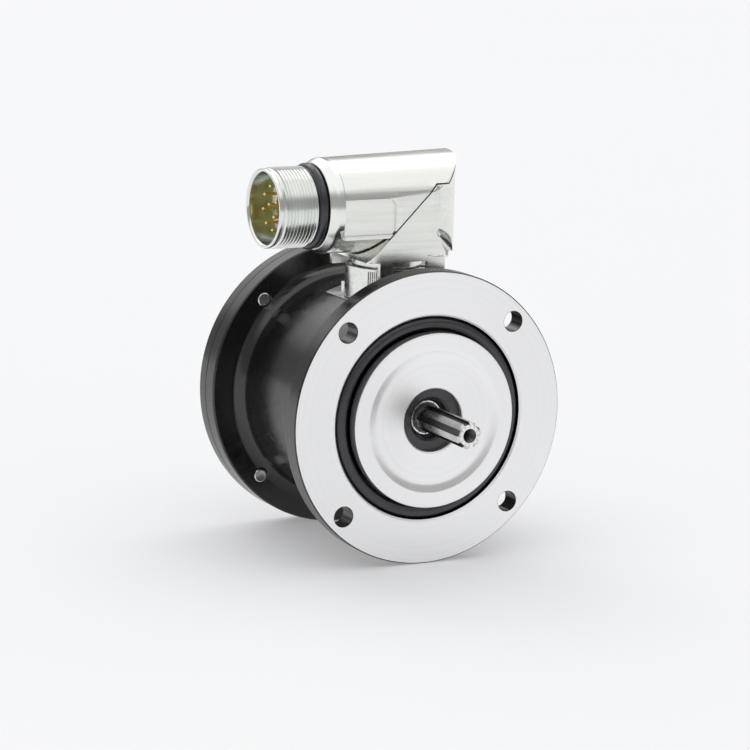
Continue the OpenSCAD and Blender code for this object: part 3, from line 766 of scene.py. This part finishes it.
def shaft_rings(outline):
    """The spline with its chamfered tip, the shoulder, the circlip groove and the reduced end."""
    angles = [a for _, a in outline]
    groove_r, groove_y0, groove_y1 = 4.7, 26.3, 27.35
    end_r, end_y = 4.0, 37
    shoulder_y, step_y = 1.6, 28.2

    def splined(limit, t):
        return [(min(r, limit), a, t) for r, a in outline]

    rings = [circle_ring(TAP_MOUTH_R, TIP_Y + 0.02, angles), circle_ring(2.2, TIP_Y, angles)]
    rings.append(splined(SPLINE_R - 0.75, TIP_Y))
    for f in (0.15, 0.5, 1):
        rings.append(splined(SPLINE_R - 0.62 + 0.62 * f, TIP_Y + 0.12 + 0.5 * f))
    rings += [splined(SPLINE_R, -6), splined(SPLINE_R, 0.15), circle_ring(SPLINE_R, 0.2, angles)]
    body = rounded([
        (SPLINE_R, shoulder_y, 0.15), (4.5, shoulder_y), (JOURNAL_R - 0.15, shoulder_y, 0.03),
        (JOURNAL_R, shoulder_y + 0.15, 0.03), (JOURNAL_R, groove_y0), (groove_r, groove_y0),
        (groove_r, groove_y1), (JOURNAL_R, groove_y1), (JOURNAL_R, step_y), (end_r, step_y),
        (end_r, end_y - 0.4), (end_r - 0.4, end_y),
    ])
    rings += [circle_ring(r, t, angles) for r, t in body]
    return rings + [circle_ring(0, end_y, angles)]


def shaft():
    outline = spline_outline()
    angles = [a for _, a in outline]
    bm = bmesh.new()
    skin(bm, shaft_rings(outline), ABOUT_SHAFT)
    rows = helix_rows(
        1.65, 0.32, 0.7, TIP_Y + 0.02, TIP_Y + 8.4, angles, TAP_MOUTH_R, inside=True,
    )
    thread_skin(bm, rows, ABOUT_SHAFT)
    hole_end = [circle_ring(1.5, TIP_Y + 8.6, angles), circle_ring(0, TIP_Y + 9, angles)]
    skin(bm, [rows[-1]] + hole_end, ABOUT_SHAFT)
    piece = shade(to_object("spline_shaft", bm, 1e-6))
    finish_piece(piece, "rotor", "shaft_steel", ["shaft"], SPLINE_STEEL, SHADED_STEEL, TIP_STEEL_AND_HIGHLIGHT)
    in_zones(piece, shaft_zone)


def shaft_zone(face):
    """Painted shade in the tapped hole, the slots and the step behind the spline; a brighter tip face and a
    painted highlight on the shoulder's chamfer.
    """
    plain, painted_shade, bright = 0, 1, 2
    centre = face.center / MM
    r = hypot(centre.x, centre.z)
    # the tapped hole: painted shade
    if r < 2.0 and centre.y < -10:
        return painted_shade
    # the tip face, and the shoulder's chamfer as a painted highlight
    if centre.y < TIP_Y + 0.03 or (r > 4.5 and centre.y < 1.95):
        return bright
    # the step behind the spline: painted shade
    if r < 4.5 and 1.4 < centre.y < 1.7:
        return painted_shade
    # the slots: painted shade
    return painted_shade if r < 3.68 and TIP_Y + 0.7 < centre.y < 1.4 else plain


# ---------------------------------------------------------------- connector


def barrel():
    angles = turn(180)
    bore_r, rear_bore_r, lip_r, neck_r = 10.05, 8.6, 11.25, 9.6
    clip_r, clip_x0, clip_x1 = rear_bore_r + 0.5, HOOD_X + 0.95, HOOD_X + 2.05
    root_r = THREAD_CREST_R - 0.65
    bm = bmesh.new()
    front = rounded([
        (rear_bore_r, BARREL_END_X), (rear_bore_r, clip_x1), (clip_r, clip_x1), (clip_r, clip_x0),
        (rear_bore_r, clip_x0), (rear_bore_r, INSERT_X), (bore_r, INSERT_X, 0.1),
        (bore_r, LIP_X + 0.5, 0.2), (10.5, LIP_X, 0.1), (lip_r - 0.2, LIP_X, 0.1),
        (lip_r, LIP_X + 0.25, 0.1), (lip_r, LIP_X + 0.85, 0.1), (root_r - 0.1, LIP_X + 1.05, 0.05),
        (root_r - 0.1, THREAD_X - 0.25), (root_r, THREAD_X - 0.2),
    ])
    back = rounded([
        (root_r, RING_X - 0.2), (10.5, RING_X - 0.15, 0.05), (10.5, COLLAR_X, 0.05),
        (COLLAR_R - 1.3, COLLAR_X, 0.2), (COLLAR_R, COLLAR_X + 2.2, 0.5), (COLLAR_R, HOOD_X - 0.12, 0.08),
        (COLLAR_R - 0.15, HOOD_X, 0.05), (neck_r, HOOD_X), (neck_r, BARREL_END_X),
    ])
    skin(bm, [circle_ring(r, t, angles) for r, t in front], ABOUT_SOCKET)
    skin(bm, [circle_ring(r, t, angles) for r, t in back + [front[0]]], ABOUT_SOCKET)
    end_r, start_x = front[-1]
    end_x = back[0][1]
    rows = helix_rows(THREAD_CREST_R, THREAD_DEPTH, THREAD_PITCH, start_x, end_x, angles, end_r)
    thread_skin(bm, rows, ABOUT_SOCKET)
    piece = shade(to_object("threaded_barrel", bm, 1e-6))
    finish_piece(piece, "connector", "nickel_casting", ["connector_barrel"], BARREL)


def pins():
    """Nine pins on an outer circle and three on an inner one, each with a rounded nose."""
    bm = bmesh.new()
    angles = turn(24)
    outer_r, inner_r, pin_r = 6.3, 2.6, 0.5
    spots = [(outer_r, radians(40 * k)) for k in range(9)]
    spots += [(inner_r, radians(-15 + 120 * k)) for k in range(3)]
    nose = 0.75
    rings = [circle_ring(0, PIN_X, angles)]
    for k in range(1, 7):
        f = radians(15 * k)
        rings.append(circle_ring(pin_r * sin(f), PIN_X + nose * (1 - cos(f)), angles))
    rings += [circle_ring(pin_r, PIN_END_X, angles), circle_ring(0, PIN_END_X, angles)]
    for r, a in spots:
        # these angles run from -Z towards +Y, as the CAD part's do
        skin(bm, rings, along_x(SWIVEL_Y + r * sin(a), SOCKET_Z - r * cos(a)))
    piece = shade(to_object("gold_pins", bm))
    finish_piece(piece, "connector", "gold_contacts", ["contact_pins"], GOLD)


def castings():
    for name, node, body, slot, edge in (
        ("hood_casting", "elbow_hood", "connector", "nickel_casting", 0.16),
        ("elbow_casting", "elbow_lower", "connector", "nickel_casting", 0.16),
        ("swivel_post", "swivel_base", "stator", "nickel_casting", 0.08),
        ("pin_carrier", "contact_insert", "connector", "insert_plastic", 0.08),
    ):
        finish_piece(dressed(name, node, edge), body, slot, [node], SLOT_MATERIALS[slot])


# ---------------------------------------------------------------- studio


def floor():
    """A wide pale disc that glows slightly, which keeps its shadow as soft as the photo's."""
    bm = bmesh.new()
    bmesh.ops.create_circle(bm, cap_ends=True, radius=6, segments=96)
    disc = to_object("floor", bm)
    disc.location.z = GROUND_Z * MM
    p = Paint("floor_paper", (0.595, 0.598, 0.605), 0.0, 0.8, Emission_Color=(0.98, 0.985, 1, 1))
    p.shader.inputs["Emission Strength"].default_value = 0.285
    p.tone(p.noise(1.2), (0.592, 0.595, 0.602), (0.598, 0.601, 0.608))
    disc.data.materials.append(p.material)


def surroundings():
    """A dark room that gives way to a bright ceiling between about 27 and 40 degrees above the horizon."""
    world = bpy.data.worlds.new("studio")
    bpy.context.scene.world = world
    world.use_nodes = True
    tree = world.node_tree
    background = tree.nodes["Background"]
    coordinates = tree.nodes.new("ShaderNodeTexCoord")
    split = tree.nodes.new("ShaderNodeSeparateXYZ")
    ramp = tree.nodes.new("ShaderNodeValToRGB")
    tree.links.new(coordinates.outputs["Generated"], split.inputs[0])
    tree.links.new(split.outputs["Z"], ramp.inputs["Fac"])
    tree.links.new(ramp.outputs["Color"], background.inputs["Color"])
    # (sine of the height above the horizon, brightness)
    steps = ((0.0, 0.36), (0.46, 0.32), (0.64, 1.0), (1.0, 1.0))
    for k, (position, level) in enumerate(steps):
        spot = ramp.color_ramp.elements[k] if k < 2 else ramp.color_ramp.elements.new(position)
        spot.position = position
        spot.color = (level, level, level, 1)
    # a soft lamp high up behind the object
    lamp = tree.nodes.new("ShaderNodeVectorMath")
    lamp.operation = "DOT_PRODUCT"
    lamp.inputs[1].default_value = Vector((-0.05, 0.82, 0.57)).normalized()
    tree.links.new(coordinates.outputs["Generated"], lamp.inputs[0])
    glow = tree.nodes.new("ShaderNodeMapRange")
    glow.interpolation_type = "SMOOTHSTEP"
    glow.inputs["From Min"].default_value = 0.88
    glow.inputs["From Max"].default_value = 0.96
    glow.inputs["To Min"].default_value = 1.06
    glow.inputs["To Max"].default_value = 3.0
    tree.links.new(lamp.outputs["Value"], glow.inputs["Value"])
    tree.links.new(glow.outputs["Result"], background.inputs["Strength"])


def key_light():
    """A wide soft light from the right, high up and a little behind."""
    light = bpy.data.lights.new("key", "SUN")
    light.energy = 0.35
    light.angle = radians(34)
    holder = bpy.data.objects.new("key", light)
    bpy.context.scene.collection.objects.link(holder)
    holder.rotation_euler = Vector((-0.5, -0.35, -0.79)).to_track_quat("-Z", "Y").to_euler()


def camera():
    """The camera's lens, directions and place come from a fit to the circles in the photo."""
    lens = bpy.data.cameras.new("camera")
    lens.lens = 168.3
    lens.sensor_width = 36
    lens.clip_start = 0.01
    holder = bpy.data.objects.new("camera", lens)
    bpy.context.scene.collection.objects.link(holder)
    right = Vector((0.88799, -0.45907, 0.02700))
    up = Vector((0.06875, 0.19058, 0.97926))
    place = Vector((-460.92, -846.20, 209.55)) * MM
    pose = Matrix((right, up, right.cross(up))).transposed().to_4x4()
    pose.translation = place
    holder.matrix_world = pose
    bpy.context.scene.camera = holder


def dress_nodes():
    """Gives every CAD node its slot's material, for those that still show or sit inside."""
    slots = {row["node"]: row["material_slot"] for row in frame["record"]["subparts"]}
    for name, node in frame["nodes"].items():
        material = SLOT_MATERIALS[slots[name]]
        materials = node.data.materials
        if not materials:
            materials.append(material)
        for k in range(len(materials)):
            materials[k] = material


bpy.context.scene.view_settings.view_transform = "Standard"
bpy.context.scene.view_settings.look = "None"
camera()
floor()
surroundings()
key_light()
housing()
rear_lid()
lid_screws()
shaft()
barrel()
pins()
castings()
dress_nodes()
